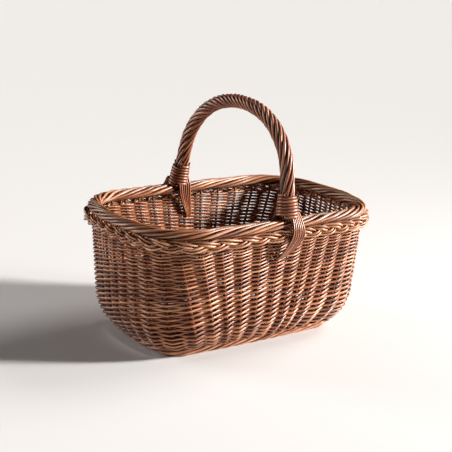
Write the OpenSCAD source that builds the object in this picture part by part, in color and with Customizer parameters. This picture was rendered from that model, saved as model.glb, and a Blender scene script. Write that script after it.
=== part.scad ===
// Woven willow market basket with a rounded rectangular plan and a fixed roped bow handle.
// Millimetres. X is the basket's length, Y its width, Z is up, and it stands on z = 0.

/* [Plan] */
// Half of the wall's outside length, just under the border
plan_a = 213; // [180:1:240]
// Half of the wall's outside width, just under the border
plan_b = 135.6; // [120:0.1:150]
// Radius of the gently bowed long sides
long_r = 2860; // [2400:10:3200]
// Radius of the bowed short ends
end_r = 292; // [260:1:340]
// Radius of the corners
corner_r = 81.3; // [76:0.1:95]

/* [Wall] */
// Outward lean of the upper wall, in degrees
wall_lean = 4.6; // [3:0.1:6]
// Radius of the bend that brings the wall in to the base
bend_r = 76; // [74:0.5:80]
// Height at which the bend begins
bend_z = 66; // [62:0.5:66]
// Height at which the wall line meets the plan line
plan_z = 173.2; // [165:0.1:180]
// Height of the top of the weave
wall_top = 194.5; // [190:0.5:200]
// Thickness of each face of the weave
skin = 2.6; // [2:0.1:3]
// Whole thickness of the woven wall
wall_t = 9.8; // [9.4:0.1:11]

/* [Stakes] */
// Diameter of a stake
stake_d = 4.0; // [3:0.1:4.2]
// Drift of the stake spacing towards one end of each side, in quarter turns
drift_sin = 0.027; // [0:0.001:0.04]
// Widening of the bays at two opposite corners, in quarter turns
drift_cos = 0.042; // [0:0.001:0.05]
// Widening of the bays at all four corners, in quarter turns
corner_cos = 0.014; // [0:0.001:0.02]

/* [Base] */
// Thickness of the woven base
base_t = 8; // [7:0.5:9]
// Top of the foot border, measured down the bend in degrees
foot_angle = 52.3; // [50:0.1:56]
// Inset of the base weave's edge from the plan line
base_inset = 62; // [61:0.5:64]
// Diameter of a base stick
stick_d = 6; // [5:0.1:6]
// Distance between base sticks
stick_gap = 24; // [20:0.5:26]
// Height of the upright foot border
foot_h = 10; // [9:0.5:11]
// Inset of the foot's outer edge on the floor
foot_inset = 56; // [54:0.5:58]
// Inset of the foot's outer edge at its top
foot_top_inset = 50; // [48:0.5:51]

/* [Border] */
// Radius of the rolled border's rounded edges
roll_r = 7; // [6:0.1:8]
// Outset of the roll's inner edge centre from the plan line
roll_in = -6; // [-7:0.1:-5]
// Outset of the roll's outer edge centre from the plan line
roll_out = -1; // [-2:0.1:0]
// Radius of the plait under the roll
plait_r = 5.5; // [5:0.1:6]
// Outset of the plait's centre from the plan line
plait_out = 6.8; // [6.75:0.05:8]
// Height of the plait's centre
plait_z = 188.5; // [186:0.5:190]

/* [Handle] */
// Rise of the bow's centre line over its feet
arch_h = 157.6; // [140:0.1:170]
// Radius of the flatter top of the bow
top_r = 152; // [140:1:160]
// Half angle of the flatter top, in degrees
top_angle = 17.2; // [15:0.1:20]
// Radius of the bow's shoulders
shoulder_r = 111.8; // [100:0.1:120]
// Angle from upright of the axis at which the legs begin, in degrees
leg_angle = 80.2; // [78:0.1:82]
// Tilt of the bow towards the front, in degrees
bow_tilt = -0.7; // [-1:0.1:0]
// Sideways lean of the bow, in degrees
bow_lean = 4.8; // [4:0.1:5]
// Twist of the bow about the upright, in degrees
bow_twist = 4.8; // [4:0.1:5]
// Diameter of the bow's core rod
core_d = 12; // [10:0.1:13]
// Diameter over the roping
rope_d = 22; // [20:0.1:24]

/* [Bindings and tails] */
// Turns in each binding
binding_turns = 7; // [5:1:8]
// Diameter of the binding rod
binding_rod = 4.9; // [4:0.1:5]
// Diameter of a tail rod
tail_rod = 3.2; // [3:0.1:3.6]
// Rods in each tail
tail_count = 6; // [4:1:7]
// Drop of an outer tail below the top of the border
outer_drop = 60; // [50:1:64]
// Drop of an inner tail below the top of the border
inner_drop = 46; // [40:1:60]

/* [Hidden] */
clear = 0.2;
bend_slices = 5;
border_top = wall_top + 2 * roll_r;
feet_z = border_top - 0.7;

// The plan is eight arcs, and a parallel line to it keeps their centres.
function length_of(v) = sqrt(v * v);
long_c = [0, plan_b - long_r];
end_c = [plan_a - end_r, 0];
long_to_end = end_c - long_c;
centre_gap = length_of(long_to_end);
reach_long = long_r - corner_r;
reach_end = end_r - corner_r;
foot_along = (reach_long ^ 2 - reach_end ^ 2 + centre_gap ^ 2) / (2 * centre_gap);
foot_off = sqrt(reach_long ^ 2 - foot_along ^ 2);
unit_gap = long_to_end / centre_gap;
corner_c = long_c + unit_gap * foot_along + [unit_gap.y, -unit_gap.x] * foot_off;
long_a = atan2(corner_c.y - long_c.y, corner_c.x - long_c.x);
end_a = atan2(corner_c.y - end_c.y, corner_c.x - end_c.x);

function polar(r, a) = r * [cos(a), sin(a)];
function arc_mm(r, a) = r * a * PI / 180;
function arc_deg(r, mm) = mm / r * 180 / PI;

// A point on the line parallel to the plan, "out" millimetres outside it, a share u of the
// way from the middle of the right end (0) to the middle of the back (1).
function quarter_point(u, out) =
    let (end_mm = arc_mm(end_r + out, end_a),
         corner_mm = arc_mm(corner_r + out, long_a - end_a),
         long_mm = arc_mm(long_r + out, 90 - long_a),
         s = u * (end_mm + corner_mm + long_mm))
    s < end_mm ? end_c + polar(end_r + out, arc_deg(end_r + out, s))
    : s < end_mm + corner_mm
        ? corner_c + polar(corner_r + out, end_a + arc_deg(corner_r + out, s - end_mm))
    : long_c + polar(long_r + out, long_a + arc_deg(long_r + out, s - end_mm - corner_mm));

// The same for a whole turn: p runs from 0 to 4, anticlockwise from the right end.
function plan_point(p, out) =
    let (q = floor(p) % 4, u = p - floor(p), even = q % 2 == 0,
         at = quarter_point(even ? u : 1 - u, out))
    [(q == 0 || q == 3 ? 1 : -1) * at.x, (q < 2 ? 1 : -1) * at.y];

// The wall's profile: [outset, height] at an angle down the bend, or a height above it.
bend_out = -(plan_z - bend_z) * tan(wall_lean);
bend_c = [bend_out, bend_z] - bend_r * [cos(wall_lean), -sin(wall_lean)];
function bend_point(a, depth) = bend_c + (bend_r - depth) * [cos(a), -sin(a)];
function wall_point(z, depth) =
    [bend_out + (z - bend_z) * tan(wall_lean) - depth / cos(wall_lean), z];

// A stake's place round the plan at the top of the wall.
side_stakes = 11;
end_stakes = 8;
half_stakes = side_stakes + end_stakes + 2;
first_turn = 2.4785;
function stake_turn(j) =
    let (w = 360 * j / half_stakes)
    first_turn + 2 * j / half_stakes
        + drift_sin * sin(w) - drift_cos * cos(w) - corner_cos * cos(2 * w);
stake_depth = wall_t / 2;

// Lower down, stakes near the corners lean towards the middle of the long sides.
lean_top = 179;
lean_drop = 128;
lean_limit = 1.1;
near_corner = 0.5;
near_wide = 0.25;
near_lean = 0.094;
far_corner = 1.3;
far_wide = 0.2;
far_lean = 0.07;
function hump(x) = exp(-(x ^ 2));
function turn_at(j, z) =
    let (p = stake_turn(j), q = p % 2,
         drop = min(lean_limit, max(0, lean_top - z) / lean_drop))
    p + drop * (near_lean * hump((q - near_corner) / near_wide)
        - far_lean * hump((q - far_corner) / far_wide));

side_names = ["front", "right", "back", "left"];
corner_names = ["front_left", "front_right", "back_right", "back_left"];
function stake_name(j) =
    let (half = floor(j / half_stakes), k = j % half_stakes, far = k > side_stakes)
    k == 0 ? str("stake_corner_", corner_names[2 * half])
    : k == side_stakes + 1 ? str("stake_corner_", corner_names[2 * half + 1])
    : str("stake_", side_names[2 * half + (far ? 1 : 0)], "_", far ? k - side_stakes - 1 : k);
STAKES = [for (j = [0 : 2 * half_stakes - 1]) stake_name(j)];

stick_count = 5;
STICKS = [for (i = [1 : stick_count]) str("base_stick_", i)];

// ---------- Tools ----------

// A closed band round the plan. The profile's points are [outset, height], anticlockwise
// as seen with the outside of the basket on the right.
module plan_sweep(profile, steps = 72) {
    m = len(profile);
    points = [for (i = [0 : steps - 1], w = profile)
        let (at = plan_point(4 * i / steps, w.x)) [at.x, at.y, w.y]];
    faces = [for (i = [0 : steps - 1], k = [0 : m - 1])
        let (a = i * m + k, b = i * m + (k + 1) % m, next = (i + 1) % steps * m,
             c = next + (k + 1) % m, d = next + k)
        each [[a, b, c], [a, c, d]]];
    polyhedron(points, faces);
}

// The solid inside a line parallel to the plan.
module plan_prism(out, h, steps = 72)
    linear_extrude(h)
        polygon([for (i = [0 : steps - 1]) plan_point(4 * i / steps, out)]);

function unit(v) = v / length_of(v);
function tangent(path, i) = unit(path[min(i + 1, len(path) - 1)] - path[max(i - 1, 0)]);
function ring(c, t, r, side, sides) =
    let (u = unit(side - t * (side * t)), v = cross(t, u))
    [for (k = [0 : sides - 1]) c + r * (u * cos(360 * k / sides) + v * sin(360 * k / sides))];

// A round rod along a path; radii has one radius for each point.
module rod(path, radii, sides = 8, side = [1, 0, 0]) {
    n = len(path);
    rings = [for (i = [0 : n - 1]) ring(path[i], tangent(path, i), radii[i], side, sides)];
    walls = [for (i = [0 : n - 2], k = [0 : sides - 1])
        let (a = i * sides + k, b = i * sides + (k + 1) % sides)
        [a, b, b + sides, a + sides]];
    start_cap = [[for (k = [sides - 1 : -1 : 0]) k]];
    end_cap = [[for (k = [0 : sides - 1]) (n - 1) * sides + k]];
    polyhedron([for (r = rings) each r], [for (f = concat(start_cap, walls, end_cap))
        [for (i = [len(f) - 1 : -1 : 0]) f[i]]]);
}

function same(n, value) = [for (i = [1 : n]) value];

// ---------- Base ----------

function stick_y(i) = (i - (stick_count + 1) / 2) * stick_gap;
function stick_half(i) = end_c.x + sqrt((end_r - base_inset) ^ 2 - stick_y(i) ^ 2) - 1;

module stick_at(i, d, extra = 0, sides = 32)
    translate([0, stick_y(i), base_t / 2])
        rotate([0, 90, 0])
            cylinder(d = d, h = 2 * (stick_half(i) + extra), center = true, $fn = sides);

module base_stick(i) color([0.46, 0.27, 0.16]) stick_at(i, stick_d);

module base_weave() color([0.55, 0.33, 0.2])
    difference() {
        plan_prism(-base_inset, base_t);
        for (i = [1 : stick_count]) stick_at(i, stick_d + 2 * clear, 10, 12);
    }

base_edge = clear / 4 - base_inset;
module foot_border() color([0.58, 0.35, 0.22])
    plan_sweep([
        bend_point(foot_angle, wall_t), [base_edge, base_t], [base_edge, 0],
        [-foot_inset, 0], [-foot_top_inset, foot_h], bend_point(foot_angle, 0)]);

// ---------- Wall ----------

function bend_line(depth, from, to) =
    [for (i = [0 : bend_slices]) bend_point(from + (to - from) * i / bend_slices, depth)];

module siding() color([0.6, 0.36, 0.23])
    plan_sweep(concat(
        bend_line(0, foot_angle, wall_lean),
        [wall_point(wall_top, 0), wall_point(wall_top, skin)],
        bend_line(skin, wall_lean, foot_angle - 2),
        bend_line(wall_t - skin, foot_angle - 2, wall_lean),
        [wall_point(wall_top, wall_t - skin), wall_point(wall_top, wall_t)],
        bend_line(wall_t, wall_lean, foot_angle)));

stake_bend_steps = 5;
function stake_profile() = concat(
    [for (i = [0 : stake_bend_steps])
        let (a = foot_angle - 2 - (foot_angle - 2 - wall_lean) * i / stake_bend_steps)
        bend_point(a, stake_depth)],
    [wall_point((bend_z + wall_top) / 2, stake_depth), wall_point(wall_top, stake_depth)]);

module stake(j) color([0.5, 0.3, 0.18]) {
    turn = stake_turn(j);
    path = [for (w = stake_profile())
        let (at = plan_point(turn_at(j, w.y), w.x)) [at.x, at.y, w.y]];
    towards = plan_point(turn + 0.01, 0) - plan_point(turn, 0);
    rod(path, same(len(path), stake_d / 2), side = [towards.x, towards.y, 0]);
}

// ---------- Handle ----------

shoulder_c = [(top_r - shoulder_r) * sin(top_angle),
              arch_h - top_r + (top_r - shoulder_r) * cos(top_angle)];
leg_top = shoulder_c + shoulder_r * [sin(leg_angle), cos(leg_angle)];
foot_y = leg_top.x + leg_top.y / tan(leg_angle);

// Half of the bow's centre line, from the crown to a foot, as [across, up].
half_arch = concat(
    [for (i = [0 : 2]) let (a = top_angle * i / 2)
        [top_r * sin(a), arch_h - top_r + top_r * cos(a)]],
    [for (i = [1 : 8]) let (a = top_angle + (leg_angle - top_angle) * i / 8)
        shoulder_c + shoulder_r * [sin(a), cos(a)]],
    [(leg_top + [foot_y, 0]) / 2, [foot_y, 0]]);
half_n = len(half_arch);
arch = concat(
    [for (i = [half_n - 1 : -1 : 1]) [0, -half_arch[i].x, half_arch[i].y]],
    [for (p = half_arch) [0, p.x, p.y]]);

function turn_x(p, a) = [p.x, p.y * cos(a) - p.z * sin(a), p.y * sin(a) + p.z * cos(a)];
function turn_y(p, a) = [p.x * cos(a) + p.z * sin(a), p.y, -p.x * sin(a) + p.z * cos(a)];
function turn_z(p, a) = [p.x * cos(a) - p.y * sin(a), p.x * sin(a) + p.y * cos(a), p.z];
function bow_place(p) =
    turn_z(turn_y(turn_x(p, bow_tilt), bow_lean), bow_twist) + [0, 0, feet_z];

bow_path = [for (p = arch) bow_place(p)];
bow_n = len(bow_path);
front_foot = bow_path[0];
back_foot = bow_path[bow_n - 1];
front_leg = unit(bow_path[1] - bow_path[0]);
back_leg = unit(bow_path[bow_n - 2] - bow_path[bow_n - 1]);

// The bow's ends are cut to a tang that runs down between the faces of the weave.
tang_d = 4;
tang_drop = 60;
function wall_place(p, z, depth) =
    let (w = wall_point(z, depth), at = plan_point(p, w.x)) [at.x, at.y, z];
front_turn = 3.0405;
back_turn = 1.0405;
function tang(turn) = [
    wall_place(turn, wall_top - tang_drop, stake_depth),
    wall_place(turn, wall_top - 2, stake_depth)];
core_r = core_d / 2;
core_path = concat(tang(front_turn), bow_path, [for (i = [1 : -1 : 0]) tang(back_turn)[i]]);
core_radii = concat([tang_d / 2, tang_d / 2], same(bow_n, core_r), [tang_d / 2, tang_d / 2]);

module handle_core(extra = 0, sides = 12)
    rod(core_path, [for (r = core_radii) r + extra], sides);

module handle_bow() color([0.42, 0.24, 0.14]) handle_core();

rope_path = concat([front_foot + front_leg * 3], [for (i = [1 : bow_n - 2]) bow_path[i]],
                   [back_foot + back_leg * 3]);

module handle_rope() color([0.55, 0.31, 0.18])
    difference() {
        rod(rope_path, same(len(rope_path), rope_d / 2), 16);
        handle_core(clear, 12);
    }

// ---------- Bindings ----------

module along(axis)
    rotate([0, acos(axis.z), atan2(axis.y, axis.x)]) children();

binding_start = 4;
module binding(foot, axis) color([0.52, 0.3, 0.18])
    translate(foot + axis * binding_start)
        along(axis)
            rotate_extrude($fn = 48)
                for (i = [0 : binding_turns - 1])
                    translate([(rope_d + binding_rod) / 2 + clear, binding_rod * (i + 0.5)])
                        union() {
                            circle(d = binding_rod, $fn = 24);
                            square([binding_rod * 0.5, binding_rod * 1.02], center = true);
                        }

// ---------- Tails ----------

// Tail rods lie side by side down a face of the basket. Each step of a tail is
// [sideways, out from the foot, up from the border's top, spread of the rods].
outer_steps = [[4, 12.5, 2, 1], [6, 17.8, -12, 1.1], [6, 20.6, -24, 1.2],
               [0, 16.5, -38, 1.1], [-9, 10, -outer_drop, 1.02]];
inner_steps = [[-4, -10.5, 1, 1], [-4, -14.6, -8, 1], [-8, -14.4, -20, 1],
               [-14, -12.4, -inner_drop, 1]];
tail_pitch = tail_rod + clear;

// Way is 1 for the front foot and -1 for the back one, half a turn round.
module tail(at, way, steps) color([0.5, 0.28, 0.17])
    for (i = [0 : tail_count - 1]) {
        side = (i - (tail_count - 1) / 2) * tail_pitch;
        path = [for (q = steps)
            [at.x + way * (q[0] + side * q[3]), at.y - way * q[1], border_top + q[2]]];
        rod(path, same(len(path), tail_rod / 2));
    }

module tail_front_outer() tail(front_foot, 1, outer_steps);
module tail_back_outer() tail(back_foot, -1, outer_steps);
module tail_front_inner() tail(front_foot, 1, inner_steps);
module tail_back_inner() tail(back_foot, -1, inner_steps);

// ---------- Border ----------

half_round = 6;
function round_end(c, r, from) =
    [for (i = [0 : half_round]) c + polar(r, from + 180 * i / half_round)];

module border_roll() color([0.57, 0.33, 0.2])
    difference() {
        plan_sweep(concat(round_end([roll_out, wall_top + roll_r], roll_r, -90),
                          round_end([roll_in, wall_top + roll_r], roll_r, 90)));
        handle_core(clear, 12);
    }

plait_sides = 12;
module border_plait() color([0.5, 0.29, 0.18])
    plan_sweep([for (i = [0 : plait_sides - 1])
        [plait_out, plait_z] + polar(plait_r, 360 * i / plait_sides)]);

base_weave();
foot_border();
siding();
border_roll();
border_plait();
handle_bow();
handle_rope();
binding(front_foot, front_leg);  // binding_front
binding(back_foot, back_leg);  // binding_back
tail_front_outer();
tail_front_inner();
tail_back_outer();
tail_back_inner();
for (i = [1 : stick_count])
    base_stick(i);
for (j = [0 : 2 * half_stakes - 1])
    stake(j);
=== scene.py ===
"""Looks of the woven willow market basket: every rod is a swept tube, in the CAD's own frame."""
import math

import bpy
import numpy as np
from mathutils import Matrix, Vector


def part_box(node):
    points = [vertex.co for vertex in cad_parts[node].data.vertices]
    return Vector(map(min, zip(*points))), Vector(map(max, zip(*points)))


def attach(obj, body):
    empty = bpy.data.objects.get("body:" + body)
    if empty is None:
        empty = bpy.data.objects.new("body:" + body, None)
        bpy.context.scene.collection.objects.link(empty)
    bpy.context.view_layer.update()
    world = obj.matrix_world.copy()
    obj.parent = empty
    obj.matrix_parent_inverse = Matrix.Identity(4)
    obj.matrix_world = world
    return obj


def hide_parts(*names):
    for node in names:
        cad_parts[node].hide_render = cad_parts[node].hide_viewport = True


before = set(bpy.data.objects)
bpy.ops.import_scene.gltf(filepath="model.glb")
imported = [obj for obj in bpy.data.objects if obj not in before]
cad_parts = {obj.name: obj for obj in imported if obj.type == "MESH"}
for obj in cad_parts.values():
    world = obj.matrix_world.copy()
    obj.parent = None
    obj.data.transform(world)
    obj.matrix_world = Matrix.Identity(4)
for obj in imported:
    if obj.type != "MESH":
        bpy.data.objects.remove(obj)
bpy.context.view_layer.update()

MM = 0.001
PI = math.pi
rng = np.random.default_rng(7)

# ---------------------------------------------------------------- plan and wall, as in the CAD
PLAN_A, PLAN_B = 213.0, 135.6
LONG_R, END_R, CORNER_R = 2860.0, 292.0, 81.3
WALL_LEAN = math.radians(4.6)
BEND_R, BEND_Z, PLAN_Z = 76.0, 66.0, 173.2
WALL_T = 9.8
FOOT_ANGLE = math.radians(52.3)
BASE_INSET = 62.0
BASE_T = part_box("base_weave")[1].z / MM
WALL_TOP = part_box("siding")[1].z / MM
BORDER_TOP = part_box("border_roll")[1].z / MM

long_c = np.array([0.0, PLAN_B - LONG_R])
end_c = np.array([PLAN_A - END_R, 0.0])


def corner_centre():
    """Centre of the corner arc that runs smoothly into the long side's and the end's arcs."""
    gap = end_c - long_c
    d = np.hypot(*gap)
    r1, r2 = LONG_R - CORNER_R, END_R - CORNER_R
    along = (r1**2 - r2**2 + d**2) / (2 * d)
    off = math.sqrt(r1**2 - along**2)
    unit = gap / d
    return long_c + unit * along + np.array([unit[1], -unit[0]]) * off


corner_c = corner_centre()
LONG_A = math.atan2(*(corner_c - long_c)[::-1])
END_A = math.atan2(*(corner_c - end_c)[::-1])


def plan(p, out):
    """Points on the line parallel to the plan, and its outward normals. p has 4 units a turn."""
    p, out = np.broadcast_arrays(np.asarray(p, float), np.asarray(out, float))
    p = p % 4
    q = np.floor(p)
    u = p - q
    u = np.where(q % 2 == 0, u, 1 - u)
    end_mm = (END_R + out) * END_A
    corner_mm = (CORNER_R + out) * (LONG_A - END_A)
    long_mm = (LONG_R + out) * (PI / 2 - LONG_A)
    s = u * (end_mm + corner_mm + long_mm)
    on_end, on_corner = s < end_mm, s < end_mm + corner_mm
    a = np.where(on_end, s / (END_R + out),
                 np.where(on_corner, END_A + (s - end_mm) / (CORNER_R + out),
                          LONG_A + (s - end_mm - corner_mm) / (LONG_R + out)))
    r = np.where(on_end, END_R, np.where(on_corner, CORNER_R, LONG_R)) + out
    cx = np.where(on_end, end_c[0], np.where(on_corner, corner_c[0], long_c[0]))
    cy = np.where(on_end, end_c[1], np.where(on_corner, corner_c[1], long_c[1]))
    sx = np.where((q == 0) | (q == 3), 1, -1)
    sy = np.where(q < 2, 1, -1)
    at = np.stack([sx * (cx + r * np.cos(a)), sy * (cy + r * np.sin(a))], -1)
    return at, np.stack([sx * np.cos(a), sy * np.sin(a)], -1)


SIDE_STAKES, END_STAKES = 11, 8
HALF_STAKES = SIDE_STAKES + END_STAKES + 2
STAKES = 2 * HALF_STAKES
FIRST_STAKE = 2.4785
DRIFT_SIN, DRIFT_COS, CORNER_COS = 0.027, 0.042, 0.014


def stake_turn(u):
    """Place round the plan of stake number u; between stakes u has a fraction."""
    w = 2 * PI * u / HALF_STAKES
    return (FIRST_STAKE + 2 * u / HALF_STAKES + DRIFT_SIN * np.sin(w)
            - DRIFT_COS * np.cos(w) - CORNER_COS * np.cos(2 * w))


LEAN_TOP, LEAN_DROP, LEAN_LIMIT = 179.0, 128.0, 1.1
NEAR_CORNER, NEAR_WIDE, NEAR_LEAN = 0.5, 0.25, 0.094
FAR_CORNER, FAR_WIDE, FAR_LEAN = 1.3, 0.2, 0.07


def turn_at(u, z):
    """Lower down, stakes near the corners lean towards the middle of the long sides."""
    p = stake_turn(np.asarray(u, float))
    q = p % 2
    drop = np.clip((LEAN_TOP - z) / LEAN_DROP, 0, LEAN_LIMIT)
    return p + drop * (NEAR_LEAN * np.exp(-(((q - NEAR_CORNER) / NEAR_WIDE) ** 2))
                       - FAR_LEAN * np.exp(-(((q - FAR_CORNER) / FAR_WIDE) ** 2)))


bend_out = -(PLAN_Z - BEND_Z) * math.tan(WALL_LEAN)
bend_c = np.array([bend_out - BEND_R * math.cos(WALL_LEAN), BEND_Z + BEND_R * math.sin(WALL_LEAN)])
MID_R = BEND_R - WALL_T / 2
BEND_MM = MID_R * (FOOT_ANGLE - WALL_LEAN)


def profile(s):
    """The wall's middle line, s mm up the slope from the foot: outset, height, lean."""
    a = np.maximum(WALL_LEAN, FOOT_ANGLE - s / MID_R)
    above = np.maximum(0, s - BEND_MM)
    out = bend_c[0] + MID_R * np.cos(a) + above * math.sin(WALL_LEAN)
    z = bend_c[1] - MID_R * np.sin(a) + above * math.cos(WALL_LEAN)
    return out, z, a


def slope_of(z):
    """How far up the slope a height on the straight upper wall is."""
    top = bend_c[1] - MID_R * math.sin(WALL_LEAN)
    return BEND_MM + (z - top) / math.cos(WALL_LEAN)


def on_wall(p, s, lift):
    """Points lift mm outside the wall's middle line, and the wall's outward normals there."""
    out, z, a = profile(s)
    at, side = plan(p, out + lift * np.cos(a))
    normal = np.column_stack([side * np.cos(a)[:, None], -np.sin(a)])
    return np.column_stack([at, z - lift * np.sin(a)]), normal


# ---------------------------------------------------------------- swept rods
def unit(v):
    """Vectors brought to length 1."""
    return v / np.maximum(np.linalg.norm(v, axis=-1, keepdims=True), 1e-9)


def frames(path, closed=False):
    """Tangents, and a side direction carried along the path without twist."""
    t = unit(np.gradient(path, axis=0))
    if closed:
        t[0] = t[-1] = unit(path[1] - path[-2])
    side = np.empty_like(t)
    start = np.cross(t[0], [0, 0, 1.0])
    if np.linalg.norm(start) < 0.2:
        start = np.cross(t[0], [1.0, 0, 0])
    s = unit(start)
    for i, ti in enumerate(t):
        s = s - ti * (s @ ti)
        s = s / np.linalg.norm(s)
        side[i] = s
    if closed:
        last, first = side[-1], side[0]
        gap = math.atan2(np.cross(last, first) @ t[0], last @ first)
        turn = (gap * np.arange(len(path)) / (len(path) - 1))[:, None]
        side = side * np.cos(turn) + np.cross(t, side) * np.sin(turn)
    return t, side


def wobble(x, scale, seed, period=None):
    """A smooth seeded wander along a rod, about 1 high. With a period, it closes on itself."""
    g = np.random.default_rng(seed)
    total = np.zeros_like(x, dtype=float)
    for k in range(3):
        waves = 1.7**k / scale
        if period:
            waves = max(1, round(waves * period)) / period
        total += np.sin(x * waves * 2 * PI + g.uniform(0, 2 * PI)) / (1.4**k)
    return total / 2


# How far the painted shade darkens a rod's sides that face its neighbours, where shade
# falls between rods; how uneven its thickness is, and how far its tone drifts along it.
PAINTED_SHADE = 0.85
KNOTS, DRIFT = 0.03, 0.06


class Bundle:
    """Collects rods, to make one mesh piece of them."""

    def __init__(self, shade_depth=PAINTED_SHADE):
        self.shade_depth = shade_depth
        self.verts, self.quads, self.caps, self.grain, self.tone = [], [], [], [], []
        self.count = 0

    def add(self, path, radius, tone=0.5, sides=10, seed=0, out=None, closed=False):
        """One rod. Painted shade is deepest on the sides turned away from out, where its neighbours
        shade it.
        """
        path = np.asarray(path, float)
        radius = np.broadcast_to(np.asarray(radius, float), (len(path),)).copy()
        t, side = frames(path, closed)
        other = np.cross(t, side)
        a = 2 * PI * np.arange(sides) / sides
        count = len(path) - 1 if closed else None
        step = np.arange(len(path), dtype=float)
        knots = 1 + KNOTS * wobble(step, 23.0, seed + 5, count)
        r = (radius * knots)[:, None, None]
        ring = (side[:, None, :] * np.cos(a)[None, :, None]
                + other[:, None, :] * np.sin(a)[None, :, None])
        v = path[:, None, :] + r * ring
        length = np.concatenate([[0], np.cumsum(np.linalg.norm(np.diff(path, axis=0), axis=1))])
        whole = length[-1]
        along = whole / 2 - np.abs(length - whole / 2) if closed else length
        if closed:
            v, ring, t, radius = v[:-1], ring[:-1], t[:-1], radius[:-1]
            length, along = length[:-1], along[:-1]
            out = np.asarray(out, float)[:-1]
        n = len(radius)
        start = (seed * 137.7) % 4000
        g = np.empty((n, sides, 3))
        g[..., 0] = (along + start)[:, None]
        g[..., 1] = np.cos(a)[None] * radius[:, None] + (seed * 3.71) % 50
        g[..., 2] = np.sin(a)[None] * radius[:, None]
        i, k = np.meshgrid(np.arange(n if closed else n - 1), np.arange(sides), indexing="ij")
        b = self.count
        nk, ni = (k + 1) % sides, (i + 1) % n
        quads = np.stack([i * sides + k, i * sides + nk, ni * sides + nk, ni * sides + k], -1)
        self.quads.append(quads.reshape(-1, 4) + b)
        if not closed:
            self.caps.append(b + np.arange(sides)[::-1])
            self.caps.append(b + (n - 1) * sides + np.arange(sides))
        self.verts.append(v.reshape(-1, 3))
        self.grain.append(g.reshape(-1, 3))
        drift = wobble(length, 260.0, seed + 9, whole if closed else None)
        tone_and_shade = np.repeat((tone + DRIFT * drift)[:, None], sides, axis=1)
        # Painted shade: the sides turned away from out are darkened in the tone, for the shade that
        # neighbouring rods cast.
        if out is not None:
            across = np.asarray(out, float) - t * np.sum(t * out, axis=1, keepdims=True)
            facing = np.einsum("nkc,nc->nk", ring, unit(across))
            tone_and_shade = tone_and_shade - self.shade_depth * (1 - facing**2) ** 2
        self.tone.append(tone_and_shade.ravel())
        self.count += n * sides
        return self

    def build(self, name, material, node, slot):
        """Makes the piece, which stands for one CAD node."""
        verts = np.concatenate(self.verts) * MM
        quads = np.concatenate(self.quads)
        sizes = np.array([4] * len(quads) + [len(c) for c in self.caps])
        loops = np.concatenate([quads.ravel()] + self.caps).astype(np.int32)
        starts = np.concatenate([[0], np.cumsum(sizes)[:-1]])
        mesh = bpy.data.meshes.new(name)
        mesh.vertices.add(len(verts))
        mesh.vertices.foreach_set("co", verts.astype(np.float32).ravel())
        mesh.loops.add(len(loops))
        mesh.loops.foreach_set("vertex_index", loops)
        mesh.polygons.add(len(sizes))
        mesh.polygons.foreach_set("loop_start", starts.astype(np.int32))
        mesh.polygons.foreach_set("loop_total", sizes.astype(np.int32))
        mesh.update(calc_edges=True)
        smooth = np.ones(len(sizes), bool)
        smooth[len(quads):] = False
        mesh.polygons.foreach_set("use_smooth", smooth)
        grain = mesh.attributes.new("grain", "FLOAT_VECTOR", "POINT")
        grain.data.foreach_set("vector", np.concatenate(self.grain).astype(np.float32).ravel())
        # The tone attribute holds each rod's own tone plus the painted shade between rods.
        tone = mesh.attributes.new("tone", "FLOAT", "POINT")
        tone.data.foreach_set("value", np.concatenate(self.tone).astype(np.float32))
        mesh.materials.append(material)
        piece = bpy.data.objects.new(name, mesh)
        bpy.context.scene.collection.objects.link(piece)
        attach(piece, "root")
        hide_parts(node)


# ---------------------------------------------------------------- materials
def srgb(*colour):
    """A screen colour from 0 to 255, as the linear colour that the shader takes."""
    linear = [((c / 255 + 0.055) / 1.055) ** 2.4 if c > 10 else c / 255 / 12.92 for c in colour]
    return (*linear, 1.0)


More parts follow.
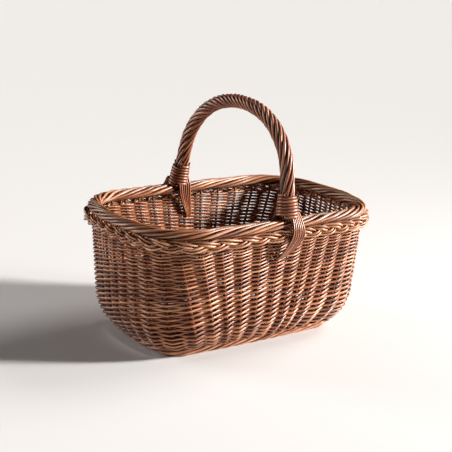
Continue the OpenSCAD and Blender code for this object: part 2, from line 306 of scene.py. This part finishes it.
def willow(name, dark, mid, light, rough=0.4, coat=0.3):
    """Steamed willow: long streaks along the rod, tone from rod to rod with painted shade between
    rods, and a varnish.
    """
    m = bpy.data.materials.new(name)
    m.use_nodes = True
    n, link = m.node_tree.nodes, m.node_tree.links
    shader = n["Principled BSDF"]
    grain = n.new("ShaderNodeAttribute")
    grain.attribute_name = "grain"
    tone = n.new("ShaderNodeAttribute")
    tone.attribute_name = "tone"

    def streaks(along, around, detail):
        scale = n.new("ShaderNodeVectorMath")
        scale.operation = "MULTIPLY"
        scale.inputs[1].default_value = (along, around, around)
        link.new(grain.outputs["Vector"], scale.inputs[0])
        noise = n.new("ShaderNodeTexNoise")
        noise.inputs["Scale"].default_value = 1.0
        noise.inputs["Detail"].default_value = detail
        noise.inputs["Roughness"].default_value = 0.6
        link.new(scale.outputs[0], noise.inputs["Vector"])
        return noise.outputs["Fac"]

    fine = streaks(0.09, 1.5, 4.0)
    broad = streaks(0.022, 0.25, 2.0)

    def combine(op, a, b):
        node = n.new("ShaderNodeMath")
        node.operation = op
        for socket, value in zip(node.inputs, (a, b)):
            if isinstance(value, (int, float)):
                socket.default_value = value
            else:
                link.new(value, socket)
        return node.outputs[0]

    wide = combine("MULTIPLY", combine("SUBTRACT", broad, 0.5), 1.1)
    thin = combine("MULTIPLY", combine("SUBTRACT", fine, 0.5), 0.7)
    # The tone attribute brings each rod's own tone and the painted shade between rods into the
    # colour; the streaks are grain.
    shade = combine("ADD", tone.outputs["Fac"], combine("ADD", wide, thin))
    ramp = n.new("ShaderNodeValToRGB")
    ramp.color_ramp.elements[0].position = 0.0
    ramp.color_ramp.elements[0].color = dark
    ramp.color_ramp.elements[1].position = 0.95
    ramp.color_ramp.elements[1].color = light
    middle = ramp.color_ramp.elements.new(0.5)
    middle.color = mid
    link.new(shade, ramp.inputs["Fac"])
    link.new(ramp.outputs["Color"], shader.inputs["Base Color"])
    gloss = n.new("ShaderNodeMapRange")
    gloss.inputs["To Min"].default_value = rough - 0.1
    gloss.inputs["To Max"].default_value = rough + 0.14
    link.new(fine, gloss.inputs["Value"])
    link.new(gloss.outputs["Result"], shader.inputs["Roughness"])
    bump = n.new("ShaderNodeBump")
    bump.inputs["Strength"].default_value = 0.15
    bump.inputs["Distance"].default_value = 0.0004
    link.new(fine, bump.inputs["Height"])
    link.new(bump.outputs["Normal"], shader.inputs["Normal"])
    shader.inputs["Specular IOR Level"].default_value = 0.45
    shader.inputs["Coat IOR"].default_value = 1.5
    shader.inputs["Coat Weight"].default_value = coat
    shader.inputs["Coat Roughness"].default_value = 0.34
    return m


WALL = willow("woven_willow", srgb(44, 18, 9), srgb(160, 91, 54), srgb(224, 166, 124))
BORDER = willow("border_willow", srgb(44, 19, 10), srgb(162, 97, 60), srgb(226, 172, 130))
HANDLE = willow("handle_willow", srgb(32, 13, 8), srgb(144, 80, 52), srgb(210, 148, 108), 0.34, 0.4)
STAKE = willow("stake_willow", srgb(56, 26, 15), srgb(148, 86, 54), srgb(198, 142, 102))
BASE = willow("base_willow", srgb(76, 42, 26), srgb(152, 92, 58), srgb(200, 142, 100), 0.45, 0.1)


# ---------------------------------------------------------------- siding
ROWS = 52
WEAVE_START = 3.5
WEAVE_TOP = slope_of(184.0)
PER_BAY = 14
REACH = 4.2
BEND_SHARP = 0.985
WEAVER_FAT = 1.17
# Row pitch at distances up the slope. It is scaled so that ROWS rows fit, so only the ratios
# count. They were rounded from measurements of the photo and then adjusted:
# the rods' butts, in the lower rows, are thicker than their tips.
PITCH_AT = [-11, 92, 112, 135, 160, 185]
PITCH_RATIO = [4.7, 4.4, 3.75, 3.3, 2.85, 2.7]


def row_height(m):
    """Slope distance of row m."""
    s = np.linspace(WEAVE_START - 15, WEAVE_TOP + 15, 1200)
    rows = np.cumsum(np.gradient(s) / np.interp(s, PITCH_AT, PITCH_RATIO))
    first, last = np.interp([WEAVE_START, WEAVE_TOP], s, rows)
    return np.interp(m, (rows - first) * ROWS / (last - first), s)


def make_siding():
    """One weaver for each stake, which rises a row in each bay, now outside and now inside."""
    m = np.linspace(-0.4, ROWS + 0.45, int((ROWS + 0.85) * PER_BAY))
    pitch = np.gradient(row_height(m), m)
    for rod in range(STAKES):
        seed = 100 + rod
        swing = -np.arcsin(BEND_SHARP * np.cos(PI * m)) / math.asin(BEND_SHARP)
        lift = swing * (REACH + 0.25 * wobble(m, 9.0, seed))
        rise = row_height(m) + 0.3 * wobble(m, 3.1, seed + 50)
        path, out = on_wall(turn_at(rod + m, profile(rise)[1]), rise, lift)
        swell = 0.05 * wobble(m, 14.0, seed + 70)
        radius = pitch * 0.5 * (WEAVER_FAT + swell + rng.uniform(-0.04, 0.05))
        Bundle().add(path, radius, rng.uniform(0.42, 0.76), 10, seed, out).build(
            f"weaver_{rod + 1:02d}", WALL, "siding", "woven_willow")


def stake_names():
    """The CAD's stakes in order, anticlockwise from the front left corner."""
    sides = ["front", "right", "back", "left"]
    corners = ["front_left", "front_right", "back_right", "back_left"]
    names = []
    for half in (0, 1):
        names.append(f"stake_corner_{corners[2 * half]}")
        names += [f"stake_{sides[2 * half]}_{k}" for k in range(1, SIDE_STAKES + 1)]
        names.append(f"stake_corner_{corners[2 * half + 1]}")
        names += [f"stake_{sides[2 * half + 1]}_{k}" for k in range(1, END_STAKES + 1)]
    return names


STAKE_FOOT_R, STAKE_TIP_R = 2.5, 2.1
STAKE_LOW = 6.0


def make_stakes():
    """Uprights, whose lower ends run level into the base weave."""
    s = np.linspace(-14, slope_of(WALL_TOP + 3), 64)
    for j, name in enumerate(stake_names()):
        path, _ = on_wall(turn_at(j, profile(s)[1]), s, 0.0)
        path[:, 2] = np.maximum(path[:, 2], STAKE_LOW)
        radius = np.linspace(STAKE_FOOT_R, STAKE_TIP_R, len(s))
        Bundle().add(path, radius, rng.uniform(0.3, 0.5), 10, 300 + j).build(
            f"{name}_rod", STAKE, name, "stake_willow")


# ---------------------------------------------------------------- foot wale
FOOT_INSET, FOOT_SLOPE = 56.0, 0.6


def foot_line(z):
    """Outset of the CAD foot border's face at a height."""
    return -FOOT_INSET + FOOT_SLOPE * z


FOOT_RODS = 5
FOOT_BAYS = 6.0
FOOT_MID, FOOT_HIGH, FOOT_DEEP = 7.8, 5.2, 3.2
FOOT_ROD, FOOT_OUT = 2.6, 3.6


def make_foot():
    """A rope of rods, twisted slowly, runs round the foot and covers the first rows."""
    u = np.linspace(0, STAKES, STAKES * 10 + 1)
    for strand in range(FOOT_RODS):
        seed = 500 + strand
        a = 2 * PI * (u / FOOT_BAYS - strand / FOOT_RODS) + 0.15 * wobble(u, 5.0, seed, STAKES)
        radius = FOOT_ROD * (1 + 0.1 * wobble(u, 9.0, seed + 20, STAKES))
        z = np.maximum(FOOT_MID + FOOT_HIGH * np.sin(a), radius + 0.05)
        at, side = plan(turn_at(u, z), foot_line(z) + FOOT_OUT + FOOT_DEEP * np.cos(a))
        path = np.column_stack([at, z])
        out = np.column_stack([side * np.cos(a)[:, None], np.sin(a)])
        Bundle().add(path, radius, rng.uniform(0.7, 0.9), 10, seed, out, True).build(
            f"foot_rod_{strand + 1}", WALL, "foot_border", "woven_willow")


# ---------------------------------------------------------------- base
STICKS = 5
STICK_GAP = 24.0
STICK_R = 3.0
BASE_STEP, BASE_ROD, BASE_SWING = 3.3, 1.75, 1.9


def make_base():
    """Sticks along the base, and rods that pass over and under them from front to back."""
    inner_end, inner_corner = END_R - BASE_INSET, CORNER_R - BASE_INSET
    for i in range(1, STICKS + 1):
        y = (i - (STICKS + 1) / 2) * STICK_GAP
        half = end_c[0] + math.sqrt(inner_end**2 - y**2) + 4
        x = np.linspace(-half, half, 50)
        path = np.column_stack([x, y + 0.4 * wobble(x, 160, 600 + i), np.full_like(x, BASE_T / 2)])
        Bundle().add(path, STICK_R, 0.45, 12, 600 + i).build(
            f"base_rod_{i}", BASE, f"base_stick_{i}", "base_willow")
    bundle = Bundle()
    count = int(2 * (PLAN_A - BASE_INSET - 1) / BASE_STEP)
    for k in range(count):
        x = (k - (count - 1) / 2) * BASE_STEP
        ax = abs(x)
        if ax < corner_c[0]:
            half = long_c[1] + math.sqrt((LONG_R - BASE_INSET) ** 2 - x**2)
        else:
            half = corner_c[1] + math.sqrt(max(0.0, inner_corner**2 - (ax - corner_c[0]) ** 2))
        y = np.linspace(-half, half, 56)
        weave = np.cos(PI * y / STICK_GAP) * (1 if k % 2 else -1)
        z = BASE_T / 2 + BASE_SWING * weave
        path = np.column_stack([x + 0.25 * wobble(y, 60, 700 + k), y, z])
        bundle.add(path, BASE_ROD, rng.uniform(0.3, 0.65), 8, 700 + k)
    bundle.build("base_weavers", BASE, "base_weave", "base_willow")


# ---------------------------------------------------------------- border
ROLL_Z = WALL_TOP + 7.0
ROLL_MID = -3.6
ROLL_WIDE, ROLL_TALL = 8.4, 5.8
ROLL_STRANDS = 8
ROLL_BAYS = 7.0
ROLL_ROD = 2.6
ROLL_START = PI / 2 + 0.6


def around_border(u, out, z):
    """Points outside the plan line at stake number u, and the outward normals there."""
    at, side = plan(stake_turn(u), out)
    return np.column_stack([at, z]), side


def make_roll():
    """Rods that wind slowly round the rim, up over it from outside and down again inside."""
    u = np.linspace(0, STAKES, STAKES * 12 + 1)
    for strand in range(ROLL_STRANDS):
        seed = 800 + strand
        a = ROLL_START - 2 * PI * (u / ROLL_BAYS + strand / ROLL_STRANDS)
        a = a + 0.13 * wobble(u, 5.0, seed, STAKES)
        swell = 1 + 0.1 * wobble(u, 4.0, seed + 30, STAKES)
        out = ROLL_MID + ROLL_WIDE * swell * -np.cos(a)
        z = ROLL_Z + ROLL_TALL * swell * np.sin(a)
        path, side = around_border(u, out, z)
        normal = np.column_stack([side * -np.cos(a)[:, None] * ROLL_TALL, ROLL_WIDE * np.sin(a)])
        radius = ROLL_ROD * (1 + 0.15 * wobble(u, 8.0, seed + 2, STAKES))
        Bundle().add(path, radius, rng.uniform(0.45, 0.8), 10, seed, normal, True).build(
            f"roll_rod_{strand + 1:02d}", BORDER, "border_roll", "border_willow")


PLAIT_BAYS = 3.0
PLAIT_HIGH, PLAIT_DEEP = 5.4, 3.6
PLAIT_ROD = 2.0
PLAIT_OUT, PLAIT_Z = 7.0, 187.0
BAY_MM = 26.0


def make_plait():
    """A flat plait of three strands, each of two rods, that hugs the wall under the roll."""
    u = np.linspace(0, STAKES, STAKES * 16 + 1)
    for strand in range(3):
        for half in (-1, 1):
            seed = 900 + 2 * strand + half
            a = 2 * PI * (u / PLAIT_BAYS + strand / 3) + 0.16 * wobble(u, 5.0, seed + 7, STAKES)
            slope = -PLAIT_HIGH * np.sin(a) * 2 * PI / PLAIT_BAYS / BAY_MM
            apart = half * (PLAIT_ROD + 0.15) / np.hypot(1, slope)
            out = PLAIT_OUT + PLAIT_DEEP * np.sin(2 * a)
            swell = 1 + 0.1 * wobble(u, 4.0, seed + 9, STAKES)
            z = PLAIT_Z + PLAIT_HIGH * np.cos(a) * swell + apart
            path, side = around_border(u - apart * slope / BAY_MM, out, z)
            normal = np.column_stack([side, 0 * u])
            radius = PLAIT_ROD * (1 + 0.12 * wobble(u, 6.0, seed, STAKES))
            name = f"plait_rod_{2 * strand + (half + 1) // 2 + 1}"
            Bundle().add(path, radius, rng.uniform(0.45, 0.8), 10, seed, normal, True).build(
                name, BORDER, "border_plait", "border_willow")


# ---------------------------------------------------------------- handle
ARCH_H, TOP_R, SHOULDER_R = 157.6, 152.0, 111.8
TOP_ANGLE, LEG_ANGLE = math.radians(17.2), math.radians(80.2)
TILT, LEAN, TWIST = (math.radians(a) for a in (-0.7, 4.8, 4.8))
FEET_Z = BORDER_TOP - 0.7


def bow_line(steps=400):
    """The bow's centre line from the front foot over the crown to the back foot."""
    c = np.array([(TOP_R - SHOULDER_R) * math.sin(TOP_ANGLE),
                  ARCH_H - TOP_R + (TOP_R - SHOULDER_R) * math.cos(TOP_ANGLE)])
    a = np.linspace(0, TOP_ANGLE, 20)
    top = np.column_stack([TOP_R * np.sin(a), ARCH_H - TOP_R + TOP_R * np.cos(a)])
    a = np.linspace(TOP_ANGLE, LEG_ANGLE, 60)[1:]
    shoulder = c + SHOULDER_R * np.column_stack([np.sin(a), np.cos(a)])
    drop = np.linspace(0, shoulder[-1, 1], 12)[1:]
    leg = np.column_stack([shoulder[-1, 0] + drop / math.tan(LEG_ANGLE), shoulder[-1, 1] - drop])
    half = np.concatenate([top, shoulder, leg])
    flat = np.concatenate([half[::-1] * [-1, 1], half[1:]])
    path = np.column_stack([np.zeros(len(flat)), flat])
    ax, ay, az = TILT, LEAN, TWIST
    rx = np.array([[1, 0, 0], [0, math.cos(ax), -math.sin(ax)], [0, math.sin(ax), math.cos(ax)]])
    ry = np.array([[math.cos(ay), 0, math.sin(ay)], [0, 1, 0], [-math.sin(ay), 0, math.cos(ay)]])
    rz = np.array([[math.cos(az), -math.sin(az), 0], [math.sin(az), math.cos(az), 0], [0, 0, 1]])
    path = path @ (rz @ ry @ rx).T + [0, 0, FEET_Z]
    length = np.concatenate([[0], np.cumsum(np.linalg.norm(np.diff(path, axis=0), axis=1))])
    s = np.linspace(0, length[-1], steps)
    return s, np.column_stack([np.interp(s, length, path[:, k]) for k in range(3)])


BOW_S, BOW = bow_line()
BOW_T, BOW_SIDE = frames(BOW)
BOW_OTHER = np.cross(BOW_T, BOW_SIDE)
CORE_R = 6.0
ROPE_RODS = 9
ROPE_R, ROPE_ROD = 8.6, 2.6
# Painted shade between the rope's rods, lighter than on the weave.
ROPE_PAINTED_SHADE = 0.5
# The rods' slant in degrees at shares of the bow's length, as listed.
LAY_AT = [0, 0.25, 0.4, 0.5, 0.6, 0.72, 1]
LAY_DEG = [12, 19, 31, 37, 30, 22, 21]


def around_bow(s, a, r):
    """Points at an angle a round the bow, r from its centre line, s along it."""
    def pick(field):
        return np.column_stack([np.interp(s, BOW_S, field[:, k]) for k in range(3)])

    side, other = unit(pick(BOW_SIDE)), unit(pick(BOW_OTHER))
    ray = side * np.cos(a)[:, None] + other * np.sin(a)[:, None]
    return pick(BOW) + ray * np.asarray(r)[:, None], ray


CORE_PAST = 4


def make_bow():
    """The core rod, which goes straight on into the border at both feet."""
    s = np.linspace(-CORE_PAST, BOW_S[-1] + CORE_PAST, 160)
    inner = np.clip(s, 0, BOW_S[-1])
    path, _ = around_bow(inner, np.zeros_like(s), np.zeros_like(s))
    path += np.outer(np.minimum(s, 0), BOW_T[0])
    path += np.outer(np.maximum(s - BOW_S[-1], 0), BOW_T[-1])
    Bundle().add(path, CORE_R, 0.3, 16, 1000).build(
        "bow_core", HANDLE, "handle_bow", "handle_willow")


def rope_lay(s):
    """The rods' slant: slack at the front foot, tight over the crown, easing at the back."""
    return np.radians(np.interp(s / BOW_S[-1], LAY_AT, LAY_DEG))


def rope_angle(s):
    """Twist round the bow that the slant adds up to."""
    turn = np.cumsum(np.tan(rope_lay(BOW_S)) * np.gradient(BOW_S) / ROPE_R)
    return np.interp(s, BOW_S, turn)


def make_rope():
    """Rods laid side by side round the core."""
    s = np.linspace(2, BOW_S[-1] - 2, 320)
    for rod in range(ROPE_RODS):
        seed = 1100 + rod
        a = rope_angle(s) + 2 * PI * rod / ROPE_RODS + 0.05 * wobble(s, 90.0, seed)
        r = ROPE_R + 0.3 * wobble(s, 60.0, seed + 20)
        room = PI * ROPE_R / ROPE_RODS * np.cos(rope_lay(s))
        path, ray = around_bow(s, a, r)
        radius = np.minimum(room, ROPE_ROD) * (1 + 0.05 * wobble(s, 70.0, seed + 2))
        Bundle(ROPE_PAINTED_SHADE).add(path, radius, rng.uniform(0.45, 0.75), 12, seed, ray).build(
            f"rope_rod_{rod + 1:02d}", HANDLE, "handle_rope", "handle_willow")


BIND_TURNS = 7
BIND_START, BIND_PITCH = 2.5, 4.75
BIND_ROD = 2.45
BIND_FRONT_R, BIND_BACK_R, BIND_TOP_R = 16.0, 14.5, 12.0
END_ROD = 1.7
# The ring of cut ends above the back coil: from inside the coil to a ragged top.
BACK_ENDS = 7
BACK_LOW, BACK_HIGH, BACK_RAGGED = 28.0, 39.7, 1.7
BACK_END_R = (11.0, 12.4)
# The lone rod tip beside the front coil, mostly towards the right end.
STUB_TOWARD = np.array([0.8, -0.6, 0.0])
STUB_S, STUB_R = (24.0, 35.0), (12.5, 18.0)


def add_cut_end(bundle, from_back, reach, radii, angle, seed):
    """A rod's cut end, which pokes out of the coil."""
    t = np.linspace(0, 1, 8)
    s = reach[0] + (reach[1] - reach[0]) * t
    r = radii[0] + (radii[1] - radii[0]) * t**2
    path, ray = around_bow(BOW_S[-1] - s if from_back else s, np.full(8, angle), r)
    bundle.add(path, END_ROD, 0.55, 10, seed, ray)


def make_binding(name, node, from_back):
    """The rod coiled round one foot of the handle, with the cut ends beside it."""
    turn = np.linspace(0, BIND_TURNS, BIND_TURNS * 36)
    s = BIND_START + turn * BIND_PITCH
    low = BIND_BACK_R if from_back else BIND_FRONT_R
    r = np.interp(turn, [0, BIND_TURNS], [low, BIND_TOP_R])
    r = r + 0.4 * wobble(turn, 0.9, 1200 + from_back)
    a = 2 * PI * turn + (0.8 if from_back else 2.2)
    along = BOW_S[-1] - s if from_back else s
    path, ray = around_bow(along, a, r)
    radius = BIND_ROD * (1 + 0.07 * wobble(turn, 1.7, 1201))
    bundle = Bundle().add(path, radius, 0.62, 12, 1210 + from_back, ray)
    if from_back:
        for k in range(BACK_ENDS):
            top = BACK_HIGH + BACK_RAGGED * math.sin(2.4 * k)
            angle = 2 * PI * k / BACK_ENDS
            add_cut_end(bundle, True, (BACK_LOW, top), BACK_END_R, angle, 1220 + k)
    else:
        turned = math.atan2(STUB_TOWARD @ BOW_OTHER[0], STUB_TOWARD @ BOW_SIDE[0])
        add_cut_end(bundle, False, STUB_S, STUB_R, turned, 1230)
    bundle.build(name, HANDLE, node, "handle_willow")


def spline(points, steps):
    """A smooth curve through a few given points (Catmull-Rom)."""
    p = np.asarray(points, float)
    p = np.vstack([2 * p[0] - p[1], p, 2 * p[-1] - p[-2]])
    out = []
    for i in range(1, len(p) - 2):
        t = np.linspace(0, 1, steps, endpoint=False)[:, None]
        a, b, c, d = p[i - 1], p[i], p[i + 1], p[i + 2]
        out.append(0.5 * (2 * b + (c - a) * t + (2 * a - 5 * b + 4 * c - d) * t**2
                          + (3 * b - a - 3 * c + d) * t**3))
    return np.vstack(out + [p[-2]])


TAIL_RODS = 6
TAIL_BUTT_R, TAIL_TIP_R = 1.9, 1.6


def make_tail(name, node, outside, back):
    """Rods that leave the binding side by side, straddle the border and are threaded away."""
    flip = -1 if back else 1
    first_seed = 1300 + 3 * back
    bundle = Bundle()
    for i in range(TAIL_RODS):
        k = i - (TAIL_RODS - 1) / 2
        if outside:
            stations = [(17.5 + 2.8 * k, -141.0, 220), (18.0 + 3.2 * k, -147.5, 209),
                        (18.0 + 3.8 * k, -153.0, 197), (17.0 + 4.2 * k, -153.5, 185),
                        (10.0 + 3.5 * k, -149.0, 170), (2.0 + 2.1 * k, -143.0, 158),
                        (-3.0 + 1.2 * k, -136.5, 150)]
        else:
            stations = [(7.0 + 3.6 * k, -121.0, 218), (7.0 + 4.0 * k, -117.5, 208),
                        (5.0 + 3.6 * k, -117.0, 190), (-1.0 + 2.6 * k, -120.0, 172),
                        (-6.0 + 1.8 * k, -123.0, 158), (-8.0 + 1.2 * k, -127.0, 150)]
        path = spline([(flip * x, flip * y, z) for x, y, z in stations], 10)
        # Painted shade on the tail rods' sides turned away from the front.
        facing = np.tile([0.0, -1.0, 0.3], (len(path), 1)) * flip
        radius = np.linspace(TAIL_BUTT_R, TAIL_TIP_R, len(path))
        bundle.add(path, radius, rng.uniform(0.5, 0.8), 10, first_seed + 10 * i, facing)
    bundle.build(name, HANDLE, node, "handle_willow")


make_siding()
make_stakes()
make_foot()
make_base()
make_roll()
make_plait()
make_bow()
make_rope()
make_binding("binding_coil_front", "binding_front", from_back=False)
make_binding("binding_coil_back", "binding_back", from_back=True)
make_tail("tail_rods_front_outer", "tail_front_outer", outside=True, back=False)
make_tail("tail_rods_front_inner", "tail_front_inner", outside=False, back=False)
make_tail("tail_rods_back_outer", "tail_back_outer", outside=True, back=True)
make_tail("tail_rods_back_inner", "tail_back_inner", outside=False, back=True)


# ---------------------------------------------------------------- floor, light and camera
FLOOR_HALF = 30.0
FLOOR_COLOUR = (0.74, 0.74, 0.75, 1)
WARM = (1.0, 0.96, 0.91)
FILL_COLOUR = (1.0, 0.96, 0.92)
SKY_COLOUR = (1.0, 0.97, 0.93, 1)
# The camera's place and directions, solved from the photo's perspective and rounded.
CAMERA_AT = (-1.0612, -1.4352, 0.6495)
CAMERA_RIGHT = (0.8120, -0.5816, 0.0481)
CAMERA_BACK = (-0.5723, -0.7773, 0.2612)
CAMERA_LENS = 92.76


def make_floor():
    mesh = bpy.data.meshes.new("floor")
    half = FLOOR_HALF
    corners = [(-half, -half, 0), (half, -half, 0), (half, half, 0), (-half, half, 0)]
    mesh.from_pydata(corners, [], [(0, 1, 2, 3)])
    paint = bpy.data.materials.new("pale_floor")
    paint.use_nodes = True
    shader = paint.node_tree.nodes["Principled BSDF"]
    shader.inputs["Base Color"].default_value = FLOOR_COLOUR
    shader.inputs["Roughness"].default_value = 0.9
    shader.inputs["Specular IOR Level"].default_value = 0.0
    mesh.materials.append(paint)
    floor = bpy.data.objects.new("floor", mesh)
    bpy.context.scene.collection.objects.link(floor)


def aim(obj, direction):
    """Turns a lamp so that it shines along direction."""
    obj.rotation_mode = "QUATERNION"
    obj.rotation_quaternion = Vector(direction).to_track_quat("-Z", "Y")


def make_sun(name, azimuth, elevation, strength, spread, colour):
    """A sun whose azimuth is counted from the front (-Y) towards the right end (+X)."""
    light = bpy.data.lights.new(name, "SUN")
    light.energy = strength
    light.angle = math.radians(spread)
    light.color = colour
    lamp = bpy.data.objects.new(name, light)
    bpy.context.scene.collection.objects.link(lamp)
    az, el = math.radians(azimuth), math.radians(elevation)
    towards = (math.sin(az) * math.cos(el), -math.cos(az) * math.cos(el), math.sin(el))
    aim(lamp, [-c for c in towards])


def make_softbox(name, place, power, size, colour):
    """A square lamp a metre or so away, so that the end near it is a little brighter."""
    light = bpy.data.lights.new(name, "AREA")
    light.energy = power
    light.size = size
    light.color = colour
    lamp = bpy.data.objects.new(name, light)
    bpy.context.scene.collection.objects.link(lamp)
    lamp.location = place
    aim(lamp, (-place[0], -place[1], 0.12 - place[2]))


def make_world(strength, seen):
    """A dim studio, with a pale backdrop behind the floor's horizon."""
    world = bpy.data.worlds.new("studio")
    world.use_nodes = True
    n, link = world.node_tree.nodes, world.node_tree.links
    sky = n["Background"]
    sky.inputs["Color"].default_value = SKY_COLOUR
    ray = n.new("ShaderNodeLightPath")
    level = n.new("ShaderNodeMapRange")
    level.inputs["To Min"].default_value = strength
    level.inputs["To Max"].default_value = seen
    link.new(ray.outputs["Is Camera Ray"], level.inputs["Value"])
    link.new(level.outputs["Result"], sky.inputs["Strength"])
    bpy.context.scene.world = world


def make_camera():
    data = bpy.data.cameras.new("camera")
    data.sensor_width = 36.0
    data.lens = CAMERA_LENS
    data.clip_end = 100
    cam = bpy.data.objects.new("camera", data)
    bpy.context.scene.collection.objects.link(cam)
    right = Vector(CAMERA_RIGHT).normalized()
    back = Vector(CAMERA_BACK).normalized()
    right = (right - back * right.dot(back)).normalized()
    up = back.cross(right)
    turn = Matrix((right, up, back)).transposed()
    cam.matrix_world = Matrix.Translation(Vector(CAMERA_AT)) @ turn.to_4x4()
    bpy.context.scene.camera = cam


make_floor()
make_sun("key", azimuth=57, elevation=20, strength=6.6, spread=7, colour=WARM)
make_softbox("near_key", place=(1.05, -0.74, 0.47), power=9.0, size=0.2, colour=WARM)
make_sun("top", azimuth=90, elevation=38, strength=1.6, spread=30, colour=WARM)
make_sun("fill", azimuth=-142, elevation=14, strength=1.6, spread=26, colour=FILL_COLOUR)
make_world(strength=0.025, seen=0.8)
make_camera()
bpy.context.scene.view_settings.view_transform = "Standard"
bpy.context.scene.view_settings.look = "None"
